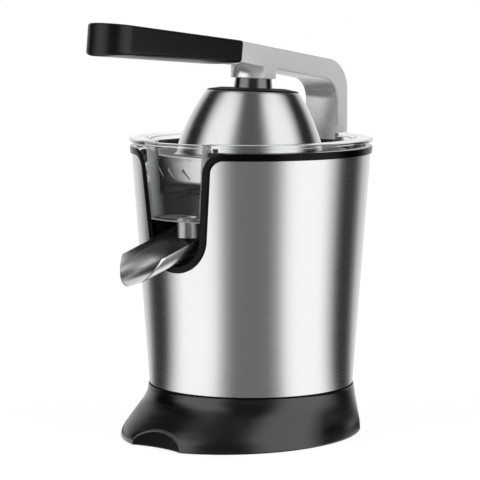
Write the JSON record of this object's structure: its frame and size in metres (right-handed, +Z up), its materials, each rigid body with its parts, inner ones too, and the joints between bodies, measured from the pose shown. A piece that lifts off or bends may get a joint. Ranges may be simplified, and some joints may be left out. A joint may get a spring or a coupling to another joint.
{
  "type": "electric citrus juicer",
  "caption": "Electric citrus press: tapered steel body on a flared base, clear juice collector with a folding spout, and a cast lever that presses a dome over a turning cone.",
  "frame": {"origin": "on the drive axis at table level, within 0.4 mm of the skirt's underside", "axes": "+Z up along the drive axis, -Y to the front where the spout points, +X to the right seen from the rear"},
  "size_m": [0.1788, 0.2539, 0.3042],
  "materials": {
    "brushed_steel": "stainless, brushed round the axis",
    "polished_steel": "stainless, polished",
    "pressed_steel": "stainless, pressed and slotted",
    "gloss_black": "moulded, glossy",
    "satin_black": "moulded, satin",
    "inner_black": "moulded, dull",
    "clear_plastic": "moulded, clear",
    "cast_aluminium": "die cast, fine satin with polished edges",
    "black_rubber": "moulded, dull",
    "cone_plastic": "moulded",
    "plain_steel": "zinc plated",
    "screw_steel": "zinc plated",
    "core_steel": "stacked sheet",
    "copper": "enamelled copper",
    "bronze": "sintered bronze",
    "gear_plastic": "moulded, natural colour",
    "pinion_brass": "cut brass",
    "switch_plastic": "moulded"
  },
  "bodies": {
    "body": {"base_skirt": "gloss_black", "base_plate": "inner_black", "feet": "black_rubber", "plate_screws": "screw_steel", "post_screws": "screw_steel", "cord_gland": "black_rubber", "body_shell": "brushed_steel", "rim_trim": "gloss_black", "inner_tub": "inner_black", "spout_niche": "inner_black", "body_posts": "inner_black", "shaft_seal": "black_rubber", "collector": "clear_plastic", "outlet_nozzle": "clear_plastic", "sieve": "pressed_steel", "gear_plate_lower": "plain_steel", "gear_plate_upper": "plain_steel", "plate_pillars": "plain_steel", "drive_bolts": "screw_steel", "shaft_bushes": "bronze", "idler_axle": "plain_steel", "motor_stator": "core_steel", "motor_coils": "copper", "motor_bracket_top": "plain_steel", "motor_bracket_bottom": "plain_steel", "motor_bearings": "bronze", "motor_bolts": "screw_steel", "brush_holders": "switch_plastic", "micro_switch": "switch_plastic", "hinge_bracket": "inner_black", "bracket_screws": "screw_steel", "hinge_pin": "plain_steel", "spout_pins": "plain_steel"},
    "lever": {"lever_arm": "cast_aluminium", "handle_grip": "satin_black", "grip_screws": "screw_steel", "hinge_bushes": "bronze", "press_neck": "gloss_black", "press_dome": "brushed_steel", "dome_retainer": "plain_steel", "dome_screw": "screw_steel"},
    "spout": {"spout": "polished_steel"},
    "rotor": {"rotor_shaft": "plain_steel", "rotor_core": "core_steel", "commutator": "copper", "motor_pinion": "pinion_brass", "cooling_fan": "gear_plastic"},
    "idler": {"idler_gear": "gear_plastic"},
    "output": {"output_gear": "gear_plastic", "stroke_spring": "screw_steel"},
    "drive": {"drive_shaft": "plain_steel", "shaft_collar": "plain_steel", "juicing_cone": "cone_plastic"},
    "plunger": {"switch_plunger": "gear_plastic"}
  },
  "joints": [
    {"name": "lever_hinge", "type": "hinge", "parent": "body", "child": "lever", "pos_m": [0, 0.08625, 0.196], "axis": [-1, 0, 0], "range_deg": [0, 75]},
    {"name": "spout_hinge", "type": "hinge", "parent": "body", "child": "spout", "pos_m": [0, -0.064, 0.1495], "axis": [-1, 0, 0], "range_deg": [0, 32]},
    {"name": "rotor_spin", "type": "hinge", "parent": "body", "child": "rotor", "pos_m": [0, 0.0135, 0.08], "axis": [0, 0, 1], "continuous": true},
    {"name": "idler_spin", "type": "hinge", "parent": "body", "child": "idler", "pos_m": [0.0275, 0.0255, 0.141], "axis": [0, 0, 1], "continuous": true},
    {"name": "output_spin", "type": "hinge", "parent": "body", "child": "output", "pos_m": [0, 0, 0.145], "axis": [0, 0, 1], "continuous": true},
    {"name": "press_stroke", "type": "slide", "parent": "output", "child": "drive", "axis": [0, 0, 1], "range_m": [-0.003, 0], "stiffness_N_per_m": 3000, "springref_m": 0.004, "deforming": ["stroke_spring"]},
    {"name": "plunger_slide", "type": "slide", "parent": "body", "child": "plunger", "axis": [0, 0, 1], "range_m": [-0.003, 0]}
  ],
  "couplings": [
    {"joint": "idler_spin", "follows": "rotor_spin", "ratio": -0.25},
    {"joint": "output_spin", "follows": "rotor_spin", "ratio": 0.0625},
    {"joint": "plunger_slide", "follows": "press_stroke", "ratio": 1}
  ]
}
